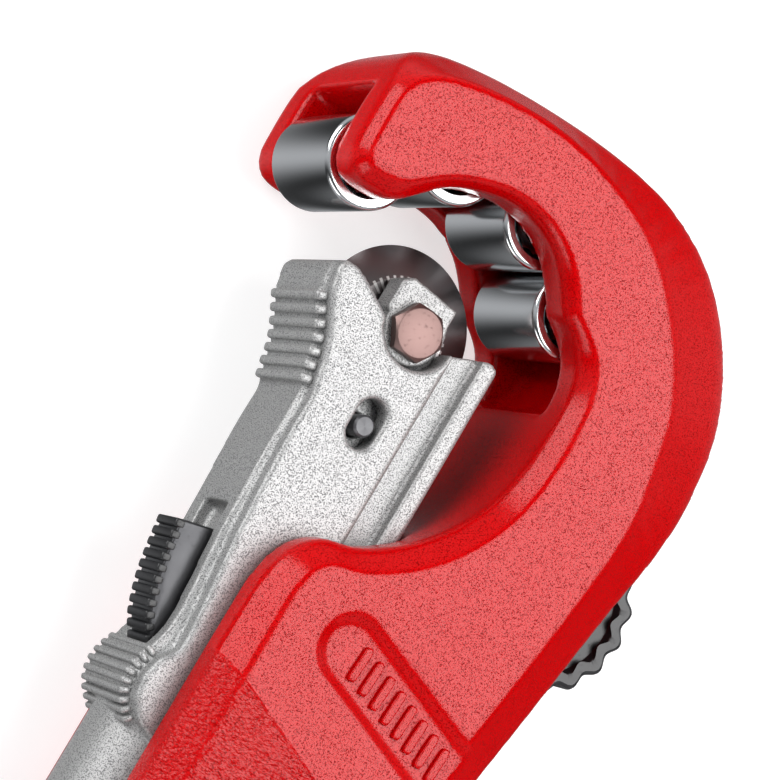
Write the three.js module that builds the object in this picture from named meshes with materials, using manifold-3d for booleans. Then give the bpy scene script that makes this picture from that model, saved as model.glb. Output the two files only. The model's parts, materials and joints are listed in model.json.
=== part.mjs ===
// Quick-adjust pipe cutter: a cast C-shaped frame with four guide rollers, a sliding carriage
// that carries the cutting wheel on a screw-fed fork, a ratchet with a thumb button, a feed knob
// with a spare wheel inside and a fold-out deburrer. Millimetres, +Z up: the tool lies on its
// far flank, +Y runs along the slide towards the rollers, +X towards the back of the C.
import * as THREE from 'three';
import { mergeVertices } from 'three/addons/utils/BufferGeometryUtils.js';
import Module from 'manifold-3d';

const wasm = await Module();
wasm.setup();

// ---------- driving dimensions (slide axis at x = 0, cutting wheel centre at y = 0) ----------
const THICK = 29;                     // frame over both flanks
const MID = THICK / 2;                // mid plane, where the wheel and the spindle lie
const CHANNEL = [6.5, 22.5];          // gap between the two flanks
const SLIDE = [6.7, 22.3];            // carriage thickness, 0.2 running gap each side
const GAP = 0.3;                      // clearance between neighbouring pieces

const ROLLER = { radius: 5.55, bore: 3.95, length: 15.2, chamfer: 0.5 };
const ROLLERS = [[-15.95, 12.6], [-6.75, 19.37], [6.75, 19.37], [15.95, 12.6]];
const AXLE = { radius: 2.4, hole: 2.7, z: [1.2, 26] };
const NEEDLES = { outer: 3.7, inner: 2.65, length: 6.2, count: 14 };

const WHEEL = { radius: 10, thick: 3.4, hub: 4.1, bore: 2.55, bevel: 3.6, room: 0.7 };
const WHEEL_Z = [MID - WHEEL.thick / 2, MID + WHEEL.thick / 2];
const FORK = { x: 4.6, z: [10, 19], bottom: -25, ear: 4.35, earTop: 20.4, boss: 3.9, gap: [12.4, 16.6] };
const BOLT = { radius: 2.2, flats: 6, face: 2.85, head: [20.65, 22.1], tip: 7.6 };
const BOLT_NUT = { flats: 6.4, z: [7.9, 9.7] };
const STOP = { y: -12.5, radius: 1.3, z: [7.2, 22] };
const STOP_SLOT = { y: [-15.3, -9.1], radius: 1.85 };

const SLAB_Z = [8.7, 20.3];           // carriage between the steps of its two faces
const SEAM_X = 5.3;                   // joint line between the carriage and its rail
const RAIL_X = 11;                    // back face of the rail
const RAIL_Y = [-78.5, 2];
const RAIL_SCREWS = [[-31.5, 10.1], [-31.5, 18.9], [-48, 10.1], [-48, 18.9]];
const GROOVE = { x: 8.65, floor: 20.6 };   // the rail's groove for the frame's guide rib
const RAIL_SCREW = 1;                 // radius
const GUIDE_RIB = { x: [7.65, 8.3], y: [-110, -34], height: 1.6 };
const CAVITY = { x: -4.95, y: -28, z: [9.65, 19.35] };
const BARREL = { radius: 7.4, y: [-117, -52] };
const SPINDLE = { radius: 2.95, bore: 3.3, y: [-134, -17] };
const SPINDLE_NUT = { radius: 4.6, y: [-24.8, -19.3] };
const COLLAR = { radius: 5, y: [-112.7, -110] };
const COUNTERBORE = { radius: 5.6, top: -109.7 };
const BUSH = { outer: 5.3, y: [-116.9, -113] };

const BUTTON = { z: [12.1, 17.7], inner: -6.4, top: -31, low: -45.7, ribs: 11, groove: 0.45 };
const BUTTON_SLOT = { x: [-14, -6.1], y: [-46, -27.7] };
const SPRING = { x: -7.3, z: 14.9, y: [-41.4, -35.6], radius: 0.75, wire: 0.17, turns: 6 };
const SPRING_POCKET = { x: -8.6, y: [-41.8, -33.9], half: 1.3 };
const SPRING_POST = { x: [-8.1, -5.8], y: [-35.1, -34.2], half: 1 };
const PAWL = { y: [-40.6, -35.6], z: [9.5, 19.5], left: -4.7, tip: 11.25, room: -6.1 };
const RACK = { x: [11.6, 14.4], y: [-106, -27], z: [11.9, 17.1], pitch: 2, depth: 1.1 };
const RACK_SCREWS = [-45, -88];
const RACK_SCREW = 1.2;               // radius
const TRAVEL_STOP = { x: 9.6, y: -112, radius: 1.25, z: [1.8, 25.1] };

const KNOB = { radius: 13.5, y: [-145.6, -120.2], flutes: 12, fluteRadius: 2.1 };
const CAP = { end: -148.6, face: 10.4, edge: 1.6, plug: 2.4, slot: [7, 1.1, 0.9] };
const SPARE_Y = -139.4;
const POCKET = { radius: 10.7, depth: -135.6 };

const FOLD = { x: 34.8, y: -15.2, peak: 11.4, valley: 10.5, lobes: 17, z: [12, 17], pin: 1.25 };
const FOLD_ROOM = { radius: 12, z: [11.4, 17.6] };
const HANDLE_END = -118.2;
const WEB_X = 11.4;                   // back wall of the handle's channel
const RECESS = { start: [9.4, -35.4], along: [21.5, -7], half: 3.9, reach: 34, depth: 0.8, steps: 12 };

// ---------- solid helpers ----------
function toSolid(geometry) {
  const bare = geometry.clone();
  bare.deleteAttribute('normal');
  bare.deleteAttribute('uv');
  const merged = mergeVertices(bare, 1e-4);
  return new wasm.Manifold(new wasm.Mesh({
    numProp: 3,
    vertProperties: new Float32Array(merged.attributes.position.array),
    triVerts: new Uint32Array(merged.index.array),
  }));
}

function toGeometry(solid) {
  const mesh = solid.getMesh();
  const geometry = new THREE.BufferGeometry();
  geometry.setAttribute('position', new THREE.BufferAttribute(mesh.vertProperties, 3));
  geometry.setIndex(new THREE.BufferAttribute(mesh.triVerts, 1));
  geometry.computeVertexNormals();
  return geometry;
}

function grow([low, high], by) {
  return [low - by, high + by];
}

function block(x, y, z) {
  const geometry = new THREE.BoxGeometry(x[1] - x[0], y[1] - y[0], z[1] - z[0]);
  return toSolid(geometry.translate((x[0] + x[1]) / 2, (y[0] + y[1]) / 2, (z[0] + z[1]) / 2));
}

function plate(points, z) {
  const shape = new THREE.Shape(points.map(([x, y]) => new THREE.Vector2(x, y)));
  const geometry = new THREE.ExtrudeGeometry(shape, { depth: z[1] - z[0], bevelEnabled: false });
  return toSolid(geometry.translate(0, 0, z[0]));
}

function splinePlate(points, z, steps) {
  const ring = new THREE.CatmullRomCurve3(points.map(([x, y]) => new THREE.Vector3(x, y, 0)), true);
  return plate(ring.getSpacedPoints(steps).slice(0, -1).map((p) => [p.x, p.y]), z);
}

function rodZ(radius, z, x = 0, y = 0, sides = 24) {
  const geometry = new THREE.CylinderGeometry(radius, radius, z[1] - z[0], sides);
  return toSolid(geometry.rotateX(Math.PI / 2).translate(x, y, (z[0] + z[1]) / 2));
}

function rodY(radius, y, x = 0, z = MID, sides = 28) {
  const geometry = new THREE.CylinderGeometry(radius, radius, y[1] - y[0], sides);
  return toSolid(geometry.translate(x, (y[0] + y[1]) / 2, z));
}

function rodX(radius, x, y, z, sides = 16) {
  const geometry = new THREE.CylinderGeometry(radius, radius, x[1] - x[0], sides);
  return toSolid(geometry.rotateZ(Math.PI / 2).translate((x[0] + x[1]) / 2, y, z));
}

function turned(profile, sides = 32) {
  return new THREE.LatheGeometry(profile.map(([r, h]) => new THREE.Vector2(r, h)), sides);
}

function turnedZ(profile, x, y, z, sides) {
  return toSolid(turned(profile, sides).rotateX(Math.PI / 2).translate(x, y, z));
}

function turnedY(profile, sides) {
  return toSolid(turned(profile, sides).translate(0, 0, MID));
}

function toothed(root, tip, teeth, stepsPerTooth) {
  const count = teeth * stepsPerTooth;
  return Array.from({ length: count }, (_, i) => {
    const angle = (2 * Math.PI * i) / count;
    const radius = (root + tip) / 2 + ((tip - root) / 2) * Math.cos(teeth * angle);
    return [radius * Math.cos(angle), radius * Math.sin(angle)];
  });
}

// ---------- the part ----------
const part = new THREE.Group();
const assembly = new THREE.Group();
part.add(assembly);

const FINISH = {
  coating: { color: 0xc40a0e, roughness: 0.42, metalness: 0 },
  diecast: { color: 0xc9c9c7, roughness: 0.5, metalness: 0.9 },
  steel: { color: 0x8d8f92, roughness: 0.3, metalness: 1 },
  bearing: { color: 0xb4b6b8, roughness: 0.2, metalness: 1 },
  wheel: { color: 0x4a4444, roughness: 0.35, metalness: 1 },
  bolt: { color: 0xa89490, roughness: 0.35, metalness: 1 },
  black: { color: 0x1b1b1d, roughness: 0.45, metalness: 0.2 },
  brass: { color: 0xb08d4a, roughness: 0.35, metalness: 1 },
};

function add(name, solid, finish) {
  const geometry = solid.isBufferGeometry ? solid : toGeometry(solid);
  const mesh = new THREE.Mesh(geometry, new THREE.MeshStandardMaterial(FINISH[finish]));
  mesh.name = name;
  assembly.add(mesh);
  return mesh;
}

// ---------- cast frame ----------
// Outline at mid thickness, anticlockwise: x, y, how far the flank edge is rounded in and, where
// the roof over the rollers is crowned, how deep the rounding goes.
const OUTLINE = [
  [-3.1, -116.4, 2.2], [-1.2, -118, 2], [5, HANDLE_END, 2], [14, HANDLE_END, 2.2],
  [18.2, -117.3, 2.8], [20.3, -114.2, 3.6], [21.3, -109, 4.2], [25.8, -82, 5.2],
  [30.4, -56, 5.8], [35, -31, 6], [37.9, -14.5, 6.3, 4.5], [39.7, -5.5, 7.5, 4.5],
  [40.1, 2, 8.9, 4.5], [38.7, 11.3, 9.6, 4.6], [34.2, 19.6, 9.8, 4.7], [27.4, 26.1, 9.3, 4.8],
  [18.5, 30, 7.4, 5.4], [9.3, 31.2, 5.5, 7], [0, 31.1, 4.1, 9], [-9.3, 30.1, 4.1, 11],
  [-15.8, 28, 3.9, 11], [-19.4, 24.5, 2.7, 6], [-20.7, 20.5, 1.4], [-20.8, 14, 1.2],
  [-20.4, 10.6, 1.3], [-18.9, 8.9, 1.7], [-16, 8.6, 2], [-13, 9.4, 2.1],
  [-10.9, 11.5, 1.8], [-8.6, 14, 1.3], [-5, 16, 1.1], [-0.8, 17.2, 1.1],
  [3.5, 17, 1.1], [7.6, 15.2, 1.1], [10.4, 12.6, 1.1], [12.2, 10.3, 1.1],
  [14.4, 9, 1.2], [16.6, 7.1, 1.5], [17.9, 4, 1.8], [18.3, -0.5, 2.1],
  [18, -6, 2.3], [16.8, -11.5, 2.5], [14.4, -16.4, 2.6], [11.4, -20.2, 2.7],
  [8, -23.2, 2.6], [4.4, -25.3, 2.6], [1, -26.3, 2.6], [-1.6, -28.6, 2.8],
  [-3.1, -32.5, 3.1], [-3.4, -38, 3.3], [-3.4, -60, 3.3], [-3.4, -90, 3.2], [-3.4, -112, 2.6],
];
const STEPS_PER_POINT = 3;
const EDGE_STEPS = [[1, 0], [0.18, 0.72], [0.04, 0.9], [0, 1]];   // [inset share, drop share]

function castBlank() {
  const steps = OUTLINE.length * STEPS_PER_POINT;
  const smooth = (list) => new THREE.CatmullRomCurve3(list, true).getPoints(steps).slice(0, -1);
  const points = smooth(OUTLINE.map(([x, y, inset]) => new THREE.Vector3(x, y, inset)));
  const depth = (inset, drop = 1.1 + 0.55 * inset) => new THREE.Vector3(drop, 0, 0);
  const drops = smooth(OUTLINE.map(([, , inset, drop]) => depth(inset, drop)));
  const count = points.length;
  const ring = points.map((p, i) => {
    const ahead = points[(i + 1) % count];
    const behind = points[(i + count - 1) % count];
    const along = new THREE.Vector2(ahead.x - behind.x, ahead.y - behind.y).normalize();
    return { x: p.x, y: p.y, inset: p.z, drop: drops[i].x, inX: -along.y, inY: along.x };
  });
  const levels = [
    ...EDGE_STEPS.map(([inset, drop]) => ({ inset, lift: (h) => drop * h })),
    ...EDGE_STEPS.toReversed().map(([inset, drop]) => ({ inset, lift: (h) => THICK - drop * h })),
  ];
  const positions = [];
  for (const level of levels) {
    for (const p of ring) {
      const inset = p.inset * level.inset;
      positions.push(p.x + p.inX * inset, p.y + p.inY * inset, level.lift(p.drop));
    }
  }
  const index = [];
  for (let k = 0; k + 1 < levels.length; k += 1) {
    for (let i = 0; i < count; i += 1) {
      const a = k * count + i;
      const b = k * count + ((i + 1) % count);
      index.push(a, b, b + count, a, b + count, a + count);
    }
  }
  const flat = ring.map((p) => new THREE.Vector2(p.x + p.inX * p.inset, p.y + p.inY * p.inset));
  const top = (levels.length - 1) * count;
  for (const [a, b, c] of THREE.ShapeUtils.triangulateShape(flat, [])) {
    index.push(top + a, top + b, top + c, c, b, a);
  }
  const geometry = new THREE.BufferGeometry();
  geometry.setAttribute('position', new THREE.Float32BufferAttribute(positions, 3));
  geometry.setIndex(index);
  return toSolid(geometry);
}

function rollerPocket() {
  return splinePlate([
    [-26, 19.6], [-14, 19.9], [-11.6, 23.6], [-7.5, 25.9], [0, 26.4], [7.5, 25.9], [13.6, 22.8],
    [19.4, 18.4], [22.4, 13.4], [22.5, 7.5], [21.2, 3], [18, 0.6], [12, 0], [0, 2], [-12, 2], [-26, 4],
  ], CHANNEL, 72);
}

function ovalRecess(z) {
  const { start, half, reach, steps } = RECESS;
  const direction = new THREE.Vector2(...RECESS.along).normalize();
  const points = [];
  for (let i = 0; i <= steps; i += 1) {
    const angle = Math.PI / 2 + (Math.PI * i) / steps + direction.angle();
    points.push([start[0] + half * Math.cos(angle), start[1] + half * Math.sin(angle)]);
  }
  const far = [start[0] + reach * direction.x, start[1] + reach * direction.y];
  points.push([far[0] + half * direction.y, far[1] - half * direction.x]);
  points.push([far[0] - half * direction.y, far[1] + half * direction.x]);
  return plate(points, z);
}

function bodyFrame() {
  let solid = castBlank();
  const cuts = [
    rollerPocket(),
    block([-30, WEB_X], [-130, -15], CHANNEL),
    block([WEB_X - 1, RACK.x[1] + GAP], grow(RACK.y, GAP), grow(RACK.z, GAP)),
    ovalRecess([THICK - RECESS.depth, THICK + 1]),
    ovalRecess([-1, RECESS.depth]),
    rodZ(FOLD_ROOM.radius, FOLD_ROOM.z, FOLD.x, FOLD.y, 40),
    plate([[22.6, -20], [22.6, -62], [40, -62], [50, -20]], FOLD_ROOM.z),
    rodZ(FOLD.pin + GAP, [5, 24], FOLD.x, FOLD.y, 16),
    rodZ(TRAVEL_STOP.radius + GAP, grow(TRAVEL_STOP.z, GAP), TRAVEL_STOP.x, TRAVEL_STOP.y, 16),
    ...RACK_SCREWS.map((y) => rodX(RACK_SCREW + GAP, [RACK.x[0], 19], y, MID)),
    ...ROLLERS.map(([x, y]) => rodZ(AXLE.hole, [-1, AXLE.z[1] + GAP], x, y)),
  ];
  for (const cut of cuts) solid = solid.subtract(cut);
  const [far, near] = CHANNEL;
  for (const z of [[far - 0.5, far + GUIDE_RIB.height], [near - GUIDE_RIB.height, near + 0.5]]) {
    solid = solid.add(block(GUIDE_RIB.x, GUIDE_RIB.y, z));
  }
  return solid;
}

add('body_frame', bodyFrame(), 'coating');

// ---------- guide rollers on needle bearings ----------
const rollerHalf = ROLLER.length / 2;
const needleHalf = NEEDLES.length / 2;
ROLLERS.forEach(([x, y], i) => {
  const c = ROLLER.chamfer;
  const profile = [
    [ROLLER.bore, -rollerHalf], [ROLLER.radius - c, -rollerHalf], [ROLLER.radius, -rollerHalf + c],
    [ROLLER.radius, rollerHalf - c], [ROLLER.radius - c, rollerHalf], [ROLLER.bore, rollerHalf],
    [ROLLER.bore, -rollerHalf],
  ];
  add(`guide_roller_${i + 1}`, turnedZ(profile, x, y, MID, 32), 'steel');
  add(`roller_axle_${i + 1}`, rodZ(AXLE.radius, AXLE.z, x, y, 20), 'bearing');
  for (const [side, z] of [['far', MID - 3.6], ['near', MID + 3.6]]) {
    const fluted = toothed(NEEDLES.outer - 0.35, NEEDLES.outer, NEEDLES.count, 2);
    const cage = plate(fluted.map(([a, b]) => [a + x, b + y]), [z - needleHalf, z + needleHalf]);
    const cageBore = rodZ(NEEDLES.inner, [z - 9, z + 9], x, y, 16);
    add(`needle_bearing_${i + 1}_${side}`, cage.subtract(cageBore), 'bearing');
  }
});

// ---------- carriage ----------
const JAW_END = [
  [SEAM_X - 0.15, BARREL.y[1] + 2], [SEAM_X - 0.15, 0.1], [-4.6, -0.7], [-6.6, 0.3], [-9.1, 1.5],
  [-10.6, 2], [-12.2, 1.9],
];
const SLAB_OUTLINE = [
  ...JAW_END, [-13, 1.2], [-13.1, 0], [-12.8, -1.6], [-12, -3.4], [-10.9, -5.2], [-10, -7],
  [-9.3, -9.4], [-8.8, -11.6], [-8.3, -12.6], [-8.3, -20], [-8.1, -26], [-7.8, -32], [-7.3, -37],
  [-7, -41], [-7.1, -43.6], [-7.8, -46], [-8.2, -47.4], [-8.4, -49], [-8.3, -50.6], [-7.6, -52.3],
  [-6, -54], [-4.4, -55], [0, -55.4],
];
const FACE_OUTLINE = [
  ...JAW_END, [-12.8, 0.8], [-12.1, -1.9], [-10.8, -4.2], [-9.6, -6.2], [-8.6, -9], [-8, -11.6],
  [-7.5, -13.2], [-7.6, -17], [-7.3, -24], [-6.8, -31], [-6, -38], [-5.5, -43], [-5.5, -45.1],
  [-6.9, -46.8], [-7.6, -49.2], [-7.2, -52], [-5.6, -53.8], [-3, -54.9], [0, -55.4],
];
const GRIP_RIBS = [
  [-12.3, -2.9], [-11.5, -4.3], [-10.7, -5.7], [-10, -7.15], [-9.5, -8.65], [-9.15, -10.2],
  [-8.75, -11.7],
];
const THUMB_RIBS = [
  [-7.9, -47], [-8.3, -48.4], [-8.4, -49.8], [-8.1, -51.2], [-7.3, -52.6], [-6, -53.8],
];
const RIB = { grip: 0.58, thumb: 0.55 };   // radius

function ribsAlong(points, radius) {
  return points.map(([x, y]) => rodZ(radius, grow(SLAB_Z, -0.2), x, y, 10));
}

function wheelRoom() {
  return rodZ(WHEEL.radius + WHEEL.room, grow(WHEEL_Z, 0.5), 0, -0.2, 48);
}

function stopSlot() {
  const [low, high] = grow(STOP_SLOT.y, -STOP_SLOT.radius);
  return rodZ(STOP_SLOT.radius, [0, THICK], 0, low, 20)
    .add(rodZ(STOP_SLOT.radius, [0, THICK], 0, high, 20))
    .add(block([-STOP_SLOT.radius, STOP_SLOT.radius], [low, high], [0, THICK]));
}

function carriageShell() {
  let solid = plate(SLAB_OUTLINE, SLAB_Z);
  const barrel = rodY(BARREL.radius, BARREL.y, 0, MID, 40);
  const added = [
    plate(FACE_OUTLINE, SLIDE),
    ...ribsAlong(GRIP_RIBS, RIB.grip),
    ...ribsAlong(THUMB_RIBS, RIB.thumb),
    barrel.intersect(block([-10, SEAM_X - 0.15], [-130, -40], [0, THICK])),
    barrel.intersect(block([-10, 10], [-130, RAIL_Y[0] - GAP], [0, THICK])),
  ];
  for (const piece of added) solid = solid.add(piece);
  const cuts = [
    block([CAVITY.x, 8], [CAVITY.y, 12], CAVITY.z),
    rodZ(FORK.ear + 0.45, [CAVITY.z[0], THICK], 0, 0.5, 36),
    rodZ(FORK.ear + 0.45, [0, CAVITY.z[1]], 0, 0.5, 36),
    block([CAVITY.x + 0.15, 4.8], [0.5, 12], [0, THICK]),
    wheelRoom(),
    stopSlot(),
    rodY(SPINDLE.bore, [-120, CAVITY.y + 1], 0, MID, 24),
    rodY(COUNTERBORE.radius, [-120, COUNTERBORE.top], 0, MID, 28),
    block(BUTTON_SLOT.x, BUTTON_SLOT.y, grow(BUTTON.z, 0.4)),
    block([PAWL.room, 8], grow(PAWL.y, GAP), grow(PAWL.z, GAP)),
    ...RAIL_SCREWS.map(([y, z]) => rodX(RAIL_SCREW + GAP, [0.5, 8], y, z)),
  ];
  for (const cut of cuts) solid = solid.subtract(cut);
  const post = block(SPRING_POST.x, SPRING_POST.y, grow([SPRING.z, SPRING.z], SPRING_POST.half));
  return solid.add(post);
}

// Everything outside this edge is cut from the rail's upper end.
const RAIL_TOP = [
  [4, 5], [4, -0.6], [5.3, 0.2], [8.2, 1.6], [9.7, 2.1], [10.7, 1.7], [11.2, 0.9], [13, 5],
];

function railSection() {
  const [low, high] = SLIDE;
  const side = [
    [SEAM_X + 0.15, GROOVE.floor], [GROOVE.x, GROOVE.floor], [GROOVE.x, high],
    [RAIL_X - 0.4, high], [RAIL_X, high - 0.4],
  ];
  const mirrored = side.map(([x, z]) => [x, low + high - z]).reverse();
  return [...side, ...mirrored];
}

function slideRail() {
  const shape = new THREE.Shape(railSection().map(([x, z]) => new THREE.Vector2(x, z)));
  const length = RAIL_Y[1] - RAIL_Y[0];
  const geometry = new THREE.ExtrudeGeometry(shape, { depth: length, bevelEnabled: false });
  let solid = toSolid(geometry.rotateX(Math.PI / 2).translate(0, RAIL_Y[1], 0));
  const cuts = [
    plate(RAIL_TOP, [0, THICK]),
    wheelRoom(),
    block([4, 12], grow(PAWL.y, GAP), grow(RACK.z, 0.1)),
    rodY(BARREL.radius + 0.15, [-130, BARREL.y[1]], 0, MID, 40),
    ...RAIL_SCREWS.map(([y, z]) => rodX(RAIL_SCREW + GAP, [4, 12], y, z)),
  ];
  for (const cut of cuts) solid = solid.subtract(cut);
  return solid;
}

add('carriage_shell', carriageShell(), 'diecast');
add('carriage_rail', slideRail(), 'diecast');
RAIL_SCREWS.forEach(([y, z], i) => {
  add(`rail_screw_${i + 1}`, rodX(RAIL_SCREW, [1, RAIL_X - GAP], y, z, 12), 'steel');
});
add('spindle_bush', rodY(BUSH.outer, BUSH.y).subtract(rodY(SPINDLE.bore, [-120, -110])), 'brass');

// ---------- fork, cutting wheel and its bolt ----------
const EAR_OUTLINE = [
  [-FORK.ear, -1], [FORK.ear, -1], [4.1, 0.6], [3.5, 2.8], [3.5, 5], [-3.2, 5.4], [-FORK.ear, 4.5],
];

function wheelFork() {
  let solid = block([-FORK.x, FORK.x], [FORK.bottom, 0], FORK.z).add(plate(EAR_OUTLINE, FORK.z));
  const boss = [FORK.z[1] - 0.1, FORK.earTop];
  solid = solid.add(rodZ(FORK.boss, boss, 0, 0, 36));
  solid = solid.add(plate(EAR_OUTLINE.slice(2).concat([[-FORK.ear, 0.6]]), boss));
  const cuts = [
    block([-7, 7], [-11, 9], FORK.gap),
    rodZ(BOLT.radius + GAP, [0, THICK]),
    rodZ(STOP.radius + 0.2, [0, THICK], 0, STOP.y, 20),
    rodY(SPINDLE_NUT.radius + GAP, [-30, SPINDLE_NUT.y[1] + GAP], 0, MID, 6),
    rodY(SPINDLE.bore, [-30, -15.2], 0, MID, 24),
  ];
  for (const cut of cuts) solid = solid.subtract(cut);
  return solid;
}

function hexagon(flats) {
  const radius = flats / Math.sqrt(3);
  return Array.from({ length: 6 }, (_, i) => {
    const angle = (Math.PI * (i + 0.5)) / 3;
    return [radius * Math.cos(angle), radius * Math.sin(angle)];
  });
}

function axleBolt() {
  const [low, high] = BOLT.head;
  const profile = [[0, low], [4, low], [4, high - 0.6], [BOLT.face, high], [0, high]];
  const head = plate(hexagon(BOLT.flats), BOLT.head).intersect(turnedZ(profile, 0, 0, 0, 36));
  return head.add(rodZ(BOLT.radius, [BOLT.tip, low + 0.5], 0, 0, 24));
}

function wheelProfile() {
  const half = WHEEL.thick / 2;
  return [
    [WHEEL.bore, -half], [WHEEL.hub, -half], [WHEEL.hub + 0.3, -half + 0.25],
    [WHEEL.radius - WHEEL.bevel, -half + 0.35], [WHEEL.radius, 0],
    [WHEEL.radius - WHEEL.bevel, half - 0.35], [WHEEL.hub + 0.3, half - 0.25],
    [WHEEL.hub, half], [WHEEL.bore, half], [WHEEL.bore, -half],
  ];
}

add('wheel_fork', wheelFork(), 'diecast');
add('cutting_wheel', turnedZ(wheelProfile(), 0, 0, MID, 44), 'wheel');
add('wheel_bolt', axleBolt(), 'bolt');
add('wheel_bolt_nut', plate(hexagon(BOLT_NUT.flats), BOLT_NUT.z)
  .subtract(rodZ(BOLT.radius + GAP, [0, MID])), 'steel');
add('fork_stop_pin', rodZ(STOP.radius, STOP.z, 0, STOP.y, 20), 'black');
add('spindle_nut', rodY(SPINDLE_NUT.radius, SPINDLE_NUT.y, 0, MID, 6)
  .subtract(rodY(SPINDLE.bore, [-30, -10], 0, MID, 24)), 'brass');

// ---------- feed spindle, knob and spare wheel ----------
function feedKnob() {
  const [low, high] = KNOB.y;
  let solid = turnedY([
    [0, low], [KNOB.radius - 1.2, low], [KNOB.radius, low + 1.2], [KNOB.radius, high - 5],
    [KNOB.radius - 2.2, high - 1.4], [KNOB.radius - 4.2, high], [0, high],
  ], 48);
  for (let i = 0; i < KNOB.flutes; i += 1) {
    const angle = (2 * Math.PI * i) / KNOB.flutes;
    const reach = KNOB.radius + 0.9;
    solid = solid.subtract(rodY(KNOB.fluteRadius, [low - 1, high + 1], reach * Math.cos(angle),
      MID + reach * Math.sin(angle), 8));
  }
  solid = solid.subtract(rodY(POCKET.radius, [low - 1, POCKET.depth], 0, MID, 36));
  return solid.subtract(rodY(SPINDLE.radius + GAP, [POCKET.depth - 1, high + 1], 0, MID, 24));
}

function knobCap() {
  const [length, depth, half] = CAP.slot;
  const rim = KNOB.radius - 1;
  const plug = POCKET.radius - GAP;
  const seat = KNOB.y[0];
  return turnedY([
    [0, CAP.end], [CAP.face, CAP.end], [rim, CAP.end + CAP.edge], [rim, seat - GAP],
    [plug, seat - GAP], [plug, seat + CAP.plug], [0, seat + CAP.plug],
  ], 40).subtract(block([-length, length], [CAP.end - 1, CAP.end + depth], grow([MID, MID], half)));
}

function spareWheel() {
  return turnedY(wheelProfile().map(([r, h]) => [r, h + SPARE_Y]), 24);
}

add('feed_spindle', rodY(SPINDLE.radius, SPINDLE.y, 0, MID, 24), 'bearing');
add('spindle_collar', rodY(COLLAR.radius, COLLAR.y).subtract(rodY(SPINDLE.bore, [-120, -100])), 'steel');
add('feed_knob', feedKnob(), 'black');
add('knob_cap', knobCap(), 'black');
add('spare_cutting_wheel', spareWheel(), 'wheel');

// ---------- thumb button, pawl and rack ----------
// Thumb face of the button, from its high end down to where it sinks into the carriage.
const BUTTON_SPINE = [
  [-11.7, -32.2], [-11.4, -34.2], [-11, -36.6], [-10.5, -38.9], [-9.8, -41.1], [-8.9, -43.3],
  [-7.4, -45.5],
];

function releaseButton() {
  const spine = new THREE.CatmullRomCurve3(BUTTON_SPINE.map(([x, y]) => new THREE.Vector3(x, y, 0)));
  const ribbed = spine.getSpacedPoints(BUTTON.ribs * 4)
    .map((p, i) => [p.x + (i % 4 < 2 ? 0 : BUTTON.groove), p.y]);
  const { inner, top, low } = BUTTON;
  const outline = [[inner, top], [-7.9, top - 0.2], ...ribbed, [inner, low]];
  const pocket = block([SPRING_POCKET.x, inner + 1], SPRING_POCKET.y,
    grow([SPRING.z, SPRING.z], SPRING_POCKET.half));
  return plate(outline, BUTTON.z).subtract(pocket);
}

function ratchetPawl() {
  const [y0, y1] = PAWL.y;
  const window = block([-3.4, 4.9], [y0 - 1, y1 + 1], [10.9, 18.1]);
  let solid = block([PAWL.left, 7.4], [y0, y1], PAWL.z).subtract(window);
  solid = solid.intersect(block([-6, 5.2], [y0 - 1, y1 + 1], [0, THICK]));
  const teeth = [[5, y1], [5, y0], [10.3, y0]];
  for (let y = y0; y < y1 - 1; y += RACK.pitch) teeth.push([PAWL.tip, y + 1.6], [10.3, y + 1.61]);
  teeth.push([10.3, y1]);
  return solid.add(plate(teeth.reverse(), [12.2, 16.8]));
}

function ratchetRack() {
  const [y0, y1] = RACK.y;
  const profile = [[RACK.x[1], y0], [RACK.x[1], y1], [RACK.x[0] + RACK.depth, y1]];
  for (let y = y1; y > y0 + RACK.pitch; y -= RACK.pitch) {
    profile.push([RACK.x[0] + RACK.depth, y - 0.1], [RACK.x[0], y - 1.7]);
  }
  profile.push([RACK.x[0] + RACK.depth, y0]);
  let solid = plate(profile, RACK.z);
  for (const y of RACK_SCREWS) solid = solid.subtract(rodX(RACK_SCREW + GAP, [10, 16], y, MID));
  return solid;
}

function coil(radius, wire, turns, length) {
  const steps = turns * 7;
  const path = new THREE.CatmullRomCurve3(Array.from({ length: steps + 1 }, (_, i) => {
    const angle = (2 * Math.PI * i * turns) / steps;
    return new THREE.Vector3(radius * Math.cos(angle), (length * i) / steps, radius * Math.sin(angle));
  }));
  const section = new THREE.Shape();
  section.absarc(0, 0, wire, 0, 2 * Math.PI);
  const options = { steps, extrudePath: path, curveSegments: 3, bevelEnabled: false };
  return toSolid(new THREE.ExtrudeGeometry(section, options));
}

add('release_button', releaseButton(), 'black');
add('ratchet_pawl', ratchetPawl(), 'steel');
add('ratchet_rack', ratchetRack(), 'steel');
RACK_SCREWS.forEach((y, i) => {
  add(`rack_screw_${i + 1}`, rodX(RACK_SCREW, [13, 18.6], y, MID), 'steel');
});
const springLength = SPRING.y[1] - SPRING.y[0];
add('button_spring', coil(SPRING.radius, SPRING.wire, SPRING.turns, springLength)
  .translate([SPRING.x, SPRING.y[0], SPRING.z]), 'bearing');
add('travel_stop_pin', rodZ(TRAVEL_STOP.radius, TRAVEL_STOP.z, TRAVEL_STOP.x, TRAVEL_STOP.y, 16), 'steel');

// ---------- fold-out deburrer ----------
function foldWheel() {
  const rim = toothed(FOLD.valley, FOLD.peak, FOLD.lobes, 4).map(([x, y]) => [x + FOLD.x, y + FOLD.y]);
  let solid = plate(rim, FOLD.z);
  for (const z of [[10, FOLD.z[0] + 0.9], [FOLD.z[1] - 0.9, 20]]) {
    solid = solid.subtract(rodZ(8.9, z, FOLD.x, FOLD.y, 36).subtract(rodZ(3.4, z, FOLD.x, FOLD.y, 24)));
  }
  solid = solid.subtract(rodZ(FOLD.pin + 0.15, [0, THICK], FOLD.x, FOLD.y, 16));
  return solid.subtract(plate([[26, -17], [33.2, -19.3], [31.4, -30], [20, -30]], [13.15, 15.85]));
}

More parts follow.
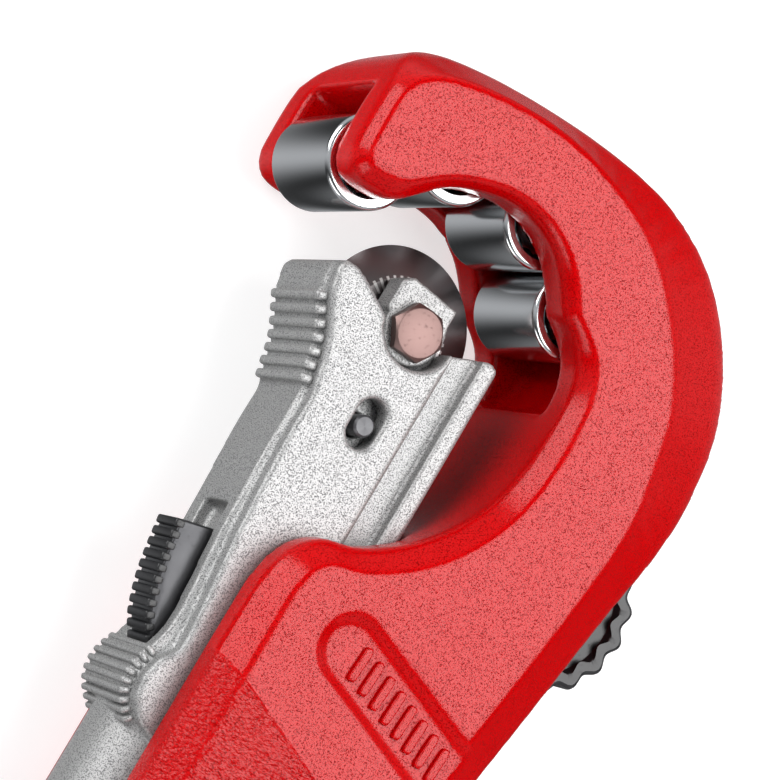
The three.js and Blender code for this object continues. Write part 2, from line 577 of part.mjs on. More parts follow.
function foldBlade() {
  const outline = [
    [28.4, -19.6], [32.6, -20], [31.6, -26.4], [30.4, -40], [27.4, -55], [25.6, -50], [24.6, -30],
  ];
  return plate(outline, [13.45, 15.55]);
}

add('deburrer_wheel', foldWheel(), 'black');
add('deburrer_blade', foldBlade(), 'bearing');
add('deburrer_pin', rodZ(FOLD.pin - 0.05, [5.4, 23.6], FOLD.x, FOLD.y, 16), 'steel');

// The origin is the middle of the underside of the whole tool.
const box = new THREE.Box3().setFromObject(part);
const centre = box.getCenter(new THREE.Vector3());
assembly.position.set(-centre.x, -centre.y, -box.min.z);

export default part;
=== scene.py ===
"""Looks of a quick-adjust pipe cutter: cast frame, sliding carriage, rollers, wheel, knob, deburrer.

Sizes are in millimetres from the cutting wheel's centre: x across, y along the slide, and z up
from the surface that the tool lies on. at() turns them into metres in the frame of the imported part.
"""
import json
import math

import bmesh
import bpy
from mathutils import Matrix, Vector


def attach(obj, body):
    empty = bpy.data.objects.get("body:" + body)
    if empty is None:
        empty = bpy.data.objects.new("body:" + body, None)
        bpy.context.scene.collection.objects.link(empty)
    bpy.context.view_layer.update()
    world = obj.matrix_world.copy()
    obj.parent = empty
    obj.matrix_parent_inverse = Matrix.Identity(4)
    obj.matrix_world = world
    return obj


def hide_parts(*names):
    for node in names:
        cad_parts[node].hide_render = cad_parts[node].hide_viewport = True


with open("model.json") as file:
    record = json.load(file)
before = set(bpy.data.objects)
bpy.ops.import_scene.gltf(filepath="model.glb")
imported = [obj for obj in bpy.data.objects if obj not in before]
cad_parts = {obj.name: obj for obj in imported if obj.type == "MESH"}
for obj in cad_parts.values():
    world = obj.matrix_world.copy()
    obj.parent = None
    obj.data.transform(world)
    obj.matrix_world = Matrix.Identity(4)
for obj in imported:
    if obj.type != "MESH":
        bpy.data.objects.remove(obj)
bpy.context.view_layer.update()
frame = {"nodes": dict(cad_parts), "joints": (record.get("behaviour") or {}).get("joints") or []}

MM = 0.001
MID = 14.5
JOINTS = {joint["name"]: joint for joint in frame["joints"]}
HUB = Vector(JOINTS["wheel_spin"]["pos_m"])
ROLLERS = [Vector(JOINTS[f"roller_spin_{i}"]["pos_m"]) for i in (1, 2, 3, 4)]
FOLD = Vector(JOINTS["deburrer_swing"]["pos_m"])


def at(x, y, z=MID):
    return Vector((HUB.x + x * MM, HUB.y + y * MM, z * MM))


# ---------------------------------------------------------------- mesh helpers

def new_object(name, verts, faces):
    mesh = bpy.data.meshes.new(name)
    mesh.from_pydata([tuple(v) for v in verts], [], faces)
    mesh.validate()
    obj = bpy.data.objects.new(name, mesh)
    bpy.context.scene.collection.objects.link(obj)
    return obj


def outward(obj, merge=1e-7):
    work = bmesh.new()
    work.from_mesh(obj.data)
    bmesh.ops.remove_doubles(work, verts=work.verts, dist=merge)
    bmesh.ops.recalc_face_normals(work, faces=work.faces)
    work.to_mesh(obj.data)
    work.free()
    return obj


def smooth(obj, angle=35):
    obj.data.shade_smooth()
    obj.data.set_sharp_from_angle(angle=math.radians(angle))
    return obj


def bake_modifiers(obj):
    """The evaluated mesh takes the place of the object's own, and no modifier is left."""
    graph = bpy.context.evaluated_depsgraph_get()
    mesh = bpy.data.meshes.new_from_object(obj.evaluated_get(graph), depsgraph=graph)
    obj.modifiers.clear()
    obj.data = mesh
    return obj


def turned(name, profile, centre, axis="Z", sides=96, swell=None):
    """A turned piece: profile is a closed loop of (radius, height) in millimetres.

    swell(angle, radius, height) gives another radius, for flutes and lobes.
    """
    turn = {"Z": Matrix.Identity(3), "Y": Matrix.Rotation(-math.pi / 2, 3, "X"),
            "X": Matrix.Rotation(math.pi / 2, 3, "Y")}[axis]
    verts = []
    for k in range(sides):
        angle = 2 * math.pi * k / sides
        for radius, height in profile:
            r = swell(angle, radius, height) if swell else radius
            local = Vector((r * math.cos(angle), r * math.sin(angle), height)) * MM
            verts.append(centre + turn @ local)
    n = len(profile)
    faces = []
    for k in range(sides):
        a, b = k * n, ((k + 1) % sides) * n
        for i in range(n):
            j = (i + 1) % n
            faces.append((a + i, b + i, b + j, a + j))
    return outward(new_object(name, verts, faces))


def extruded(name, points, z_low, z_high):
    """A plate: an outline in the x-y plane, between two heights."""
    n = len(points)
    verts = [at(x, y, z_low) for x, y in points] + [at(x, y, z_high) for x, y in points]
    faces = [tuple(range(n))[::-1], tuple(range(n, 2 * n))]
    faces += [(i, (i + 1) % n, n + (i + 1) % n, n + i) for i in range(n)]
    return outward(new_object(name, verts, faces))


def copy_of(node, name):
    """A merged copy of a CAD node's mesh."""
    obj = bpy.data.objects.new(name, frame["nodes"][node].data.copy())
    bpy.context.scene.collection.objects.link(obj)
    obj.data.materials.clear()
    return outward(obj, 1e-6)


def combine(obj, tool, operation):
    cut = obj.modifiers.new("cut", "BOOLEAN")
    cut.operation = operation
    cut.solver = "EXACT"
    cut.object = tool
    bake_modifiers(obj)
    bpy.data.objects.remove(tool)
    return obj


def recast(obj, voxel, rounds=4, factor=0.5):
    """Gives a sharp-edged solid the soft edges of a casting: a fine even skin, then smoothed."""
    skin = obj.modifiers.new("skin", "REMESH")
    skin.mode = "VOXEL"
    skin.voxel_size = voxel * MM
    ease = obj.modifiers.new("ease", "SMOOTH")
    ease.factor = factor
    ease.iterations = rounds
    bake_modifiers(obj)
    obj.data.shade_smooth()
    return obj


def rounded(obj, width, segments=3, angle=30):
    """Small even rounds on the edges of a machined piece."""
    work = bmesh.new()
    work.from_mesh(obj.data)
    bmesh.ops.dissolve_limit(work, angle_limit=math.radians(1.0), verts=work.verts, edges=work.edges)
    work.to_mesh(obj.data)
    work.free()
    bevel = obj.modifiers.new("rounds", "BEVEL")
    bevel.width = width * MM
    bevel.segments = segments
    bevel.limit_method = "ANGLE"
    bevel.angle_limit = math.radians(angle)
    bevel.use_clamp_overlap = True
    bake_modifiers(obj)
    return smooth(obj, 40)


# ---------------------------------------------------------------- geometry nodes for rows

def row_tree():
    """A row of rounded bars along a curve: ridges, serrations, needles.

    Each bar is a sphere pushed towards a block by Squareness and stretched to its length.
    """
    tree = bpy.data.node_groups.new("bar_row", "GeometryNodeTree")
    sockets = [("Geometry", "NodeSocketGeometry", None), ("Count", "NodeSocketInt", 8),
               ("Width", "NodeSocketFloat", 1.0), ("Depth", "NodeSocketFloat", 1.0),
               ("Length", "NodeSocketFloat", 5.0), ("End", "NodeSocketFloat", 0.5),
               ("Squareness", "NodeSocketFloat", 1.0), ("Turn", "NodeSocketRotation", None),
               ("Material", "NodeSocketMaterial", None)]
    for label, kind, value in sockets:
        socket = tree.interface.new_socket(label, in_out="INPUT", socket_type=kind)
        if value is not None:
            socket.default_value = value
    tree.interface.new_socket("Geometry", in_out="OUTPUT", socket_type="NodeSocketGeometry")
    nodes, link = tree.nodes, tree.links.new
    enter, leave = nodes.new("NodeGroupInput"), nodes.new("NodeGroupOutput")

    def calc(operation, *inputs):
        node = nodes.new("ShaderNodeMath")
        node.operation = operation
        for i, value in enumerate(inputs):
            if isinstance(value, (int, float)):
                node.inputs[i].default_value = value
            else:
                link(value, node.inputs[i])
        return node.outputs[0]

    ball = nodes.new("GeometryNodeMeshUVSphere")
    ball.inputs["Segments"].default_value = 20
    ball.inputs["Rings"].default_value = 12
    ball.inputs["Radius"].default_value = 1.0
    split = nodes.new("ShaderNodeSeparateXYZ")
    link(nodes.new("GeometryNodeInputPosition").outputs[0], split.inputs[0])
    halves = []
    for axis, size in (("X", "Width"), ("Y", "Depth"), ("Z", None)):
        sign = calc("SIGN", split.outputs[axis])
        boxed = calc("POWER", calc("ABSOLUTE", split.outputs[axis]), enter.outputs["Squareness"])
        boxed = calc("MULTIPLY", sign, boxed)
        if size:
            halves.append(calc("MULTIPLY", boxed, calc("MULTIPLY", enter.outputs[size], 0.5)))
        else:
            half_length = calc("MULTIPLY", enter.outputs["Length"], 0.5)
            straight = calc("SUBTRACT", half_length, enter.outputs["End"])
            rounded_end = calc("MULTIPLY", boxed, enter.outputs["End"])
            halves.append(calc("ADD", rounded_end, calc("MULTIPLY", sign, straight)))
    join = nodes.new("ShaderNodeCombineXYZ")
    for axis, value in zip("XYZ", halves):
        link(value, join.inputs[axis])
    shape = nodes.new("GeometryNodeSetPosition")
    link(ball.outputs["Mesh"], shape.inputs["Geometry"])
    link(join.outputs[0], shape.inputs["Position"])
    soft = nodes.new("GeometryNodeSetShadeSmooth")
    link(shape.outputs[0], soft.inputs["Geometry"])
    spots = nodes.new("GeometryNodeCurveToPoints")
    spots.mode = "COUNT"
    link(enter.outputs["Geometry"], spots.inputs["Curve"])
    link(enter.outputs["Count"], spots.inputs["Count"])
    face = nodes.new("FunctionNodeAlignRotationToVector")
    face.axis = "X"
    face.pivot_axis = "Z"
    link(spots.outputs["Tangent"], face.inputs["Vector"])
    turn = nodes.new("FunctionNodeRotateRotation")
    turn.rotation_space = "LOCAL"
    link(face.outputs[0], turn.inputs["Rotation"])
    link(enter.outputs["Turn"], turn.inputs["Rotate By"])
    place = nodes.new("GeometryNodeInstanceOnPoints")
    link(spots.outputs["Points"], place.inputs["Points"])
    link(soft.outputs[0], place.inputs["Instance"])
    link(turn.outputs[0], place.inputs["Rotation"])
    real = nodes.new("GeometryNodeRealizeInstances")
    link(place.outputs[0], real.inputs[0])
    paint = nodes.new("GeometryNodeSetMaterial")
    link(real.outputs[0], paint.inputs["Geometry"])
    link(enter.outputs["Material"], paint.inputs["Material"])
    link(paint.outputs[0], leave.inputs[0])
    return tree


BAR_ROW = row_tree()


def bars(name, points, material, count, width, depth, length, end, squareness=1.0, turn=(0, 0, 0)):
    """Bars in a row along a path of points; sizes in millimetres."""
    curve = bpy.data.curves.new(name, "CURVE")
    curve.dimensions = "3D"
    spline = curve.splines.new("POLY")
    spline.points.add(len(points) - 1)
    for spot, p in zip(spline.points, points):
        spot.co = (*p, 1)
    path = bpy.data.objects.new(name + "_path", curve)
    bpy.context.scene.collection.objects.link(path)
    modifier = path.modifiers.new("row", "NODES")
    modifier.node_group = BAR_ROW
    values = {"Count": count, "Width": width * MM, "Depth": depth * MM, "Length": length * MM,
              "End": end * MM, "Squareness": squareness, "Turn": turn, "Material": material}
    for item in BAR_ROW.interface.items_tree:
        if item.in_out == "INPUT" and item.name in values:
            modifier[item.identifier] = values[item.name]
    graph = bpy.context.evaluated_depsgraph_get()
    mesh = bpy.data.meshes.new_from_object(path.evaluated_get(graph), depsgraph=graph)
    path.modifiers.clear()
    bpy.data.objects.remove(path)
    obj = bpy.data.objects.new(name, mesh)
    bpy.context.scene.collection.objects.link(obj)
    return outward(obj)


# ---------------------------------------------------------------- shader groups

def group(name, inputs, outputs):
    """A shader node group with named float inputs (name, default) and outputs (name, type)."""
    tree = bpy.data.node_groups.new(name, "ShaderNodeTree")
    for label, default in inputs:
        socket = tree.interface.new_socket(label, in_out="INPUT", socket_type="NodeSocketFloat")
        socket.default_value = default
    for label, kind in outputs:
        tree.interface.new_socket(label, in_out="OUTPUT", socket_type=kind)
    return tree, tree.nodes.new("NodeGroupInput"), tree.nodes.new("NodeGroupOutput")


def math_node(tree, operation, a, b=None, clamp=False):
    node = tree.nodes.new("ShaderNodeMath")
    node.operation = operation
    node.use_clamp = clamp
    for i, value in enumerate((a, b)):
        if value is None:
            continue
        if isinstance(value, (int, float)):
            node.inputs[i].default_value = value
        else:
            tree.links.new(value, node.inputs[i])
    return node.outputs[0]


def noise(tree, vector, scale, detail=3.0, rough=0.55):
    node = tree.nodes.new("ShaderNodeTexNoise")
    node.inputs["Detail"].default_value = detail
    node.inputs["Roughness"].default_value = rough
    tree.links.new(vector, node.inputs["Vector"])
    if isinstance(scale, (int, float)):
        node.inputs["Scale"].default_value = scale
    else:
        tree.links.new(scale, node.inputs["Scale"])
    return node.outputs["Fac"]


def build_grain():
    """Speckle of a sprayed or blasted skin: a height and a mask of its darker pits."""
    tree, enter, leave = group("skin_grain", [("Scale", 900.0), ("Pit Share", 0.4)],
                               [("Height", "NodeSocketFloat"), ("Pits", "NodeSocketFloat")])
    coords = tree.nodes.new("ShaderNodeTexCoord").outputs["Object"]
    fine = noise(tree, coords, enter.outputs["Scale"], 2.0, 0.6)
    wide = noise(tree, coords, math_node(tree, "MULTIPLY", enter.outputs["Scale"], 0.31), 2.0, 0.5)
    height = math_node(tree, "ADD", math_node(tree, "MULTIPLY", fine, 0.6),
                       math_node(tree, "MULTIPLY", wide, 0.4))
    tree.links.new(height, leave.inputs["Height"])
    low = math_node(tree, "SUBTRACT", enter.outputs["Pit Share"], fine)
    tree.links.new(math_node(tree, "MULTIPLY", low, 9.0, clamp=True), leave.inputs["Pits"])
    return tree


def build_edge_wear():
    """Mask of convex edges, broken up by noise."""
    tree, enter, leave = group("edge_wear", [("Amount", 0.5), ("Breakup Scale", 300.0)],
                               [("Mask", "NodeSocketFloat")])
    pointy = tree.nodes.new("ShaderNodeNewGeometry").outputs["Pointiness"]
    coords = tree.nodes.new("ShaderNodeTexCoord").outputs["Object"]
    broken = noise(tree, coords, enter.outputs["Breakup Scale"], 4.0, 0.6)
    raised = math_node(tree, "MULTIPLY", math_node(tree, "SUBTRACT", pointy, 0.52), 14.0, clamp=True)
    mixed = math_node(tree, "MULTIPLY", raised, math_node(tree, "ADD", broken, 0.3))
    mask = math_node(tree, "MULTIPLY", mixed, enter.outputs["Amount"], clamp=True)
    tree.links.new(mask, leave.inputs["Mask"])
    return tree


def build_turning():
    """Fine turning rings around a Z or Y axis: a ridge height that changes along the axis."""
    tree, enter, leave = group("turning_lines", [("Along Y", 0.0), ("Scale", 2500.0)],
                               [("Height", "NodeSocketFloat")])
    coords = tree.nodes.new("ShaderNodeTexCoord").outputs["Object"]
    split = tree.nodes.new("ShaderNodeSeparateXYZ")
    tree.links.new(coords, split.inputs[0])
    mix = tree.nodes.new("ShaderNodeMix")
    tree.links.new(enter.outputs["Along Y"], mix.inputs["Factor"])
    tree.links.new(split.outputs["Z"], mix.inputs["A"])
    tree.links.new(split.outputs["Y"], mix.inputs["B"])
    join = tree.nodes.new("ShaderNodeCombineXYZ")
    tree.links.new(mix.outputs["Result"], join.inputs["X"])
    rings = noise(tree, join.outputs[0], enter.outputs["Scale"], 3.0, 0.7)
    tree.links.new(rings, leave.inputs["Height"])
    return tree


def build_leather():
    """Coarse wavy leather grain below a slanted line of the handle: its height and its mask."""
    inputs = [("Edge X", 0.0), ("Edge Y", 0.0), ("Slope", -0.38), ("Scale", 900.0)]
    tree, enter, leave = group("leather_grain", inputs,
                               [("Height", "NodeSocketFloat"), ("Mask", "NodeSocketFloat")])
    coords = tree.nodes.new("ShaderNodeTexCoord").outputs["Object"]
    split = tree.nodes.new("ShaderNodeSeparateXYZ")
    tree.links.new(coords, split.inputs[0])
    across = math_node(tree, "SUBTRACT", split.outputs["X"], enter.outputs["Edge X"])
    fall = math_node(tree, "MULTIPLY", across, enter.outputs["Slope"])
    line = math_node(tree, "ADD", enter.outputs["Edge Y"], fall)
    below = math_node(tree, "SUBTRACT", line, split.outputs["Y"])
    mask = math_node(tree, "MULTIPLY", below, 2500.0, clamp=True)
    stretch = tree.nodes.new("ShaderNodeMapping")
    stretch.inputs["Scale"].default_value = (0.55, 1.25, 1.0)
    tree.links.new(coords, stretch.inputs["Vector"])
    wavy = noise(tree, stretch.outputs[0], enter.outputs["Scale"], 2.0, 0.45)
    tree.links.new(math_node(tree, "MULTIPLY", wavy, mask), leave.inputs["Height"])
    tree.links.new(mask, leave.inputs["Mask"])
    return tree


def build_tick_ring():
    """Mask of evenly spaced radial strokes in a ring around an upright axis."""
    inputs = [("Centre X", 0.0), ("Centre Y", 0.0), ("Radius", 0.006), ("Half Width", 0.0008),
              ("Count", 48.0)]
    tree, enter, leave = group("tick_ring", inputs, [("Mask", "NodeSocketFloat")])
    coords = tree.nodes.new("ShaderNodeTexCoord").outputs["Object"]
    split = tree.nodes.new("ShaderNodeSeparateXYZ")
    tree.links.new(coords, split.inputs[0])
    dx = math_node(tree, "SUBTRACT", split.outputs["X"], enter.outputs["Centre X"])
    dy = math_node(tree, "SUBTRACT", split.outputs["Y"], enter.outputs["Centre Y"])
    squares = math_node(tree, "ADD", math_node(tree, "MULTIPLY", dx, dx),
                        math_node(tree, "MULTIPLY", dy, dy))
    offset = math_node(tree, "SUBTRACT", math_node(tree, "SQRT", squares), enter.outputs["Radius"])
    inside = math_node(tree, "LESS_THAN", math_node(tree, "ABSOLUTE", offset),
                       enter.outputs["Half Width"])
    angle = math_node(tree, "ARCTAN2", dy, dx)
    wave = math_node(tree, "SINE", math_node(tree, "MULTIPLY", angle, enter.outputs["Count"]))
    stroke = math_node(tree, "GREATER_THAN", wave, 0.35)
    tree.links.new(math_node(tree, "MULTIPLY", inside, stroke), leave.inputs["Mask"])
    return tree


GRAIN = build_grain()
LEATHER = build_leather()
TICKS = build_tick_ring()
WEAR = build_edge_wear()
TURNING = build_turning()


# ---------------------------------------------------------------- materials

class Finish:
    """A Principled material and the few nodes that vary it over the surface."""

    def __init__(self, name, color, roughness, metallic=0.0, specular=0.5):
        self.material = bpy.data.materials.new(name)
        self.material.use_nodes = True
        self.tree = self.material.node_tree
        self.shader = self.tree.nodes["Principled BSDF"]
        self.shader.inputs["Base Color"].default_value = (*color, 1)
        self.shader.inputs["Roughness"].default_value = roughness
        self.shader.inputs["Metallic"].default_value = metallic
        self.shader.inputs["Specular IOR Level"].default_value = specular
        self.heights = []

    def use(self, tree, **values):
        node = self.tree.nodes.new("ShaderNodeGroup")
        node.node_tree = tree
        for label, value in values.items():
            node.inputs[label.replace("_", " ")].default_value = value
        return node

    def blend(self, socket, mask, first, second):
        """Between two values or colours by a mask, into a socket of the shader."""
        node = self.tree.nodes.new("ShaderNodeMix")
        colour = not isinstance(first, (int, float))
        node.data_type = "RGBA" if colour else "FLOAT"
        a, b = (6, 7) if colour else (2, 3)
        for index, value in ((a, first), (b, second)):
            if isinstance(value, bpy.types.NodeSocket):
                self.tree.links.new(value, node.inputs[index])
            else:
                node.inputs[index].default_value = (*value, 1) if colour else value
        self.tree.links.new(mask, node.inputs[0])
        result = node.outputs[2] if colour else node.outputs[0]
        if socket:
            self.tree.links.new(result, self.shader.inputs[socket])
        return result

    def bump(self, height, strength, distance):
        node = self.tree.nodes.new("ShaderNodeBump")
        node.inputs["Strength"].default_value = strength
        node.inputs["Distance"].default_value = distance * MM
        self.tree.links.new(height, node.inputs["Height"])
        if self.heights:
            self.tree.links.new(self.heights[-1], node.inputs["Normal"])
        self.heights.append(node.outputs["Normal"])
        self.tree.links.new(node.outputs["Normal"], self.shader.inputs["Normal"])


def red_coating():
    """Powder coat: fine peel on every face, coarse leather grain on the lower grip area."""
    base, pit, deep = (0.52, 0.0, 0.001), (0.20, 0.0, 0.0), (0.48, 0.0, 0.001)
    f = Finish("red_powder_coat", base, 0.14, specular=0.28)
    edge = at(0.2, -44.4)
    leather = f.use(LEATHER, Edge_X=edge.x, Edge_Y=edge.y, Slope=-0.38, Scale=2300.0)
    grain = f.use(GRAIN, Scale=6400.0, Pit_Share=0.49)
    ground = f.blend(None, leather.outputs["Mask"], base, deep)
    f.blend("Base Color", grain.outputs["Pits"], ground, pit)
    f.blend("Roughness", grain.outputs["Pits"], 0.14, 0.3)
    f.blend("Specular IOR Level", grain.outputs["Pits"], 0.28, 0.05)
    f.bump(grain.outputs["Height"], 0.35, 0.06)
    f.bump(leather.outputs["Height"], 0.7, 0.4)
    return f.material


def die_cast():
    """Blasted casting: salt-and-pepper grain, a little brighter on its worn edges."""
    base, pit = (0.41, 0.41, 0.406), (0.17, 0.17, 0.172)
    f = Finish("blasted_die_casting", base, 0.45, metallic=0.55)
    grain = f.use(GRAIN, Scale=6400.0, Pit_Share=0.51)
    wear = f.use(WEAR, Amount=0.35, Breakup_Scale=420.0)
    dark = f.blend(None, grain.outputs["Pits"], base, pit)
    f.blend("Base Color", wear.outputs["Mask"], dark, (0.5, 0.5, 0.49))
    f.blend("Roughness", grain.outputs["Pits"], 0.46, 0.7)
    f.bump(grain.outputs["Height"], 0.6, 0.06)
    return f.material


def turned_steel(name, color, roughness, along_y=0.0, strength=0.12):
    f = Finish(name, color, roughness, metallic=1.0)
    lines = f.use(TURNING, Along_Y=along_y, Scale=2600.0)
    f.blend("Roughness", lines.outputs["Height"], roughness * 0.75, roughness * 1.3)
    f.bump(lines.outputs["Height"], strength, 0.01)
    return f.material


def grained(name, color, roughness, metallic=0.0, scale=1800.0, strength=0.15, worn=(0.3, 0.3, 0.3)):
    """A fine-grained finish, worn a little on its edges."""
    f = Finish(name, color, roughness, metallic=metallic)
    grain = f.use(GRAIN, Scale=scale, Pit_Share=0.4)
    wear = f.use(WEAR, Amount=0.25, Breakup_Scale=500.0)
    f.blend("Base Color", wear.outputs["Mask"], color, worn)
    f.blend("Roughness", grain.outputs["Pits"], roughness, min(1.0, roughness * 1.35))
    f.bump(grain.outputs["Height"], strength, 0.02)
    return f.material


def marked_wheel(name, color, roughness):
    """Ground cutting wheel with a ring of light strokes on its face."""
    f = Finish(name, color, roughness, metallic=1.0)
    lines = f.use(TURNING, Along_Y=0.0, Scale=2600.0)
    ticks = f.use(TICKS, Centre_X=HUB.x, Centre_Y=HUB.y, Radius=0.0057, Half_Width=0.0008, Count=44.0)
    f.blend("Base Color", ticks.outputs["Mask"], color, (0.5, 0.49, 0.48))
    f.blend("Roughness", ticks.outputs["Mask"], roughness, 0.5)
    f.bump(lines.outputs["Height"], 0.12, 0.01)
    return f.material


COATING = red_coating()
CASTING = die_cast()
ROLLER = turned_steel("roller_steel", (0.70, 0.71, 0.72), 0.16)
GROUND = turned_steel("ground_steel", (0.62, 0.63, 0.65), 0.18)
PLATED = turned_steel("plated_screw_steel", (0.55, 0.56, 0.58), 0.3)
SPINDLE = turned_steel("spindle_steel", (0.55, 0.56, 0.58), 0.25, along_y=1.0)
BRONZE = turned_steel("bearing_bronze", (0.62, 0.40, 0.18), 0.3, along_y=1.0)
WHEEL = marked_wheel("wheel_steel", (0.17, 0.155, 0.155), 0.3)
BOLT_FACE = grained("bolt_steel", (0.19, 0.12, 0.11), 0.42, metallic=0.9, strength=0.06,
                    worn=(0.4, 0.3, 0.28))
BLADE = grained("blade_steel", (0.5, 0.51, 0.53), 0.25, metallic=1.0, strength=0.05,
                worn=(0.8, 0.8, 0.8))
RATCHET = grained("phosphated_steel", (0.22, 0.225, 0.235), 0.42, metallic=0.9, worn=(0.6, 0.6, 0.6))
BLACK_STEEL = grained("black_oxide_steel", (0.03, 0.03, 0.034), 0.36, metallic=0.4,
                      worn=(0.35, 0.35, 0.36))
BUTTON_CHEEK = grained("satin_black_steel", (0.045, 0.045, 0.048), 0.32, metallic=0.8,
                       worn=(0.45, 0.45, 0.46))
BLACK_PLASTIC = grained("black_plastic", (0.010, 0.010, 0.011), 0.36, scale=1400.0,
                        worn=(0.08, 0.08, 0.085))


def piece(obj, body, slot, material, *nodes):
    """A finished piece: its material, the body that carries it and the CAD nodes it stands for."""
    obj.data.materials.clear()
    obj.data.materials.append(material)
    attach(obj, body)
    if nodes:
        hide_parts(*nodes)
    return obj


# ---------------------------------------------------------------- pieces

def frame_casting():
    obj = recast(copy_of("body_frame", "frame_casting"), 0.6, rounds=3)
    piece(obj, "frame", "red_coating", COATING, "body_frame")


def recess_strokes():
    """Plain slanted strokes raised in the oval recess of both flanks."""
    lean = math.radians(14)
    for name, z in (("near_strokes", 28.35), ("far_strokes", 0.65)):
        lane = [at(11.4, -36.1, z), at(26.0, -40.8, z)]
        strokes = bars(name, lane, COATING, 8, 1.05, 4.4, 0.8, 0.3, 0.4, (0, 0, lean))
        piece(smooth(strokes, 50), "frame", "red_coating", COATING)


GRIP_PATH = [(-12.3, -2.9), (-11.5, -4.3), (-10.7, -5.7), (-10, -7.15), (-9.5, -8.65), (-9.15, -10.2),
             (-8.75, -11.7)]
THUMB_PATH = [(-7.7, -46.6), (-8.3, -48.1), (-8.55, -49.8), (-8.2, -51.4), (-7.3, -52.8), (-5.9, -54.1)]


def grips():
    """Cast ridges for the finger below the jaw and for the thumb at the foot of the slide."""
    rows = (("finger_ridges", GRIP_PATH, 7, 1.15, 1.7, 8.5, 21.4),
            ("thumb_ridges", THUMB_PATH, 9, 0.8, 1.5, 8.7, 20.9))
    for name, path, count, width, depth, low, high in rows:
        lane = [at(p.x, p.y, (low + high) / 2) for p in smooth_path(path, 6)]
        ridges = bars(name, lane, CASTING, count, width, depth, high - low, 0.8, 0.6)
        smooth(ridges, 60)
        piece(ridges, "carriage", "diecast", CASTING)


def carriage():
    shell = recast(copy_of("carriage_shell", "carriage_casting"), 0.36, rounds=2)
    piece(shell, "carriage", "diecast", CASTING, "carriage_shell")
    grips()
    rail = recast(copy_of("carriage_rail", "carriage_rail_bar"), 0.26, rounds=1)
    piece(rail, "carriage", "diecast", CASTING, "carriage_rail")
    fork = recast(copy_of("wheel_fork", "fork_block"), 0.22, rounds=2)
    piece(fork, "fork", "diecast", CASTING, "wheel_fork")


def rollers():
    """Hardened sleeves with a rounded end and a bright face ring."""
    radius, bore, half, c = 5.55, 3.95, 7.6, 0.55
    profile = [(bore, -half + 0.3), (bore + 0.3, -half), (radius - c - 0.2, -half)]
    profile += [(radius - c + c * math.sin(a), -half + c - c * math.cos(a))
                for a in (math.radians(d) for d in (0, 25, 50, 75, 90))]
    profile += [(r, -h) for r, h in reversed(profile)]
    for i, centre in enumerate(ROLLERS, 1):
        sleeve = smooth(turned(f"roller_sleeve_{i}", profile, centre), 30)
        piece(sleeve, f"roller_{i}", "roller_steel", ROLLER, f"guide_roller_{i}")


def cutting_wheel(name, centre, axis, body, node):
    half, hub, bore, rim, bevel = 1.7, 4.1, 2.55, 10.0, 3.6
    profile = [(bore, -half + 0.2), (bore + 0.2, -half), (hub, -half), (hub + 0.3, -half + 0.25),
               (rim - bevel - 0.2, -half + 0.3), (rim - bevel, -half + 0.37),
               (rim - bevel + 0.3, -half + 0.47),
               (rim - 0.1, -0.05), (rim, 0)]
    profile += [(r, -h) for r, h in reversed(profile[:-1])]
    disc = smooth(turned(name, profile, centre, axis, sides=160), 12)
    piece(disc, body, "wheel_steel", WHEEL, node)


def bolt_head():
    """Hexagon head with a round chamfered face, on a plain shank."""
    top, low, flats, face = 22.1, 20.65, 6.0, 2.85
    shank, tip, shank_end, tip_radius = 2.2, 7.6, 7.9, 1.9
    sides = 144
    rings = []
    for k in range(sides):
        angle = 2 * math.pi * k / sides + math.radians(30)
        corner = flats / 2 / math.cos((angle % (math.pi / 3)) - math.pi / 6)
        chamfer = top - 0.05 - (corner - face) * 0.8
        levels = [(face - 0.12, top), (face, top - 0.04), (corner, chamfer), (corner, low),
                  (shank, low), (shank, shank_end), (tip_radius, tip)]
        rings.append([at(r * math.cos(angle), r * math.sin(angle), z) for r, z in levels])
    rows = len(rings[0])
    verts = [ring[level] for level in range(rows) for ring in rings]
    faces = []
    for k in range(rows - 1):
        for i in range(sides):
            a, b = k * sides + i, k * sides + (i + 1) % sides
            faces.append((a, b, b + sides, a + sides))
    faces.append(tuple(range(sides)))
    last = (rows - 1) * sides
    faces.append(tuple(range(last, last + sides)))
    head = smooth(outward(new_object("hexagon_bolt", verts, faces)), 20)
    piece(head, "fork", "bolt_steel", BOLT_FACE, "wheel_bolt")


def plain_pin(name, x, y, radius, z_low, z_high, body, slot, material, node, chamfer=0.25):
    profile = [(0.02, z_low), (radius - chamfer, z_low), (radius, z_low + chamfer),
               (radius, z_high - chamfer), (radius - chamfer, z_high), (0.02, z_high)]
    centre = at(x, y, 0)
    pin = smooth(turned(name, profile, centre, sides=48), 30)
    piece(pin, body, slot, material, node)


def smooth_path(points, steps):
    """Catmull-Rom points through a short list of (x, y)."""
    ends = [points[0]] + list(points) + [points[-1]]
    path = []
    for i in range(1, len(ends) - 2):
        p0, p1, p2, p3 = (Vector(ends[k]) for k in (i - 1, i, i + 1, i + 2))
        for k in range(steps):
            t = k / steps
            path.append(0.5 * (2 * p1 + (p2 - p0) * t + (2 * p0 - 5 * p1 + 4 * p2 - p3) * t * t
                               + (3 * p1 - p0 - 3 * p2 + p3) * t ** 3))
    path.append(Vector(points[-1]))
    return path


BUTTON_SPINE = [(-11.7, -32.2), (-11.4, -34.2), (-11, -36.6), (-10.5, -38.9), (-9.8, -41.1),
                (-8.9, -43.3), (-7.4, -45.5)]
BUTTON_Z = (12.1, 17.7)


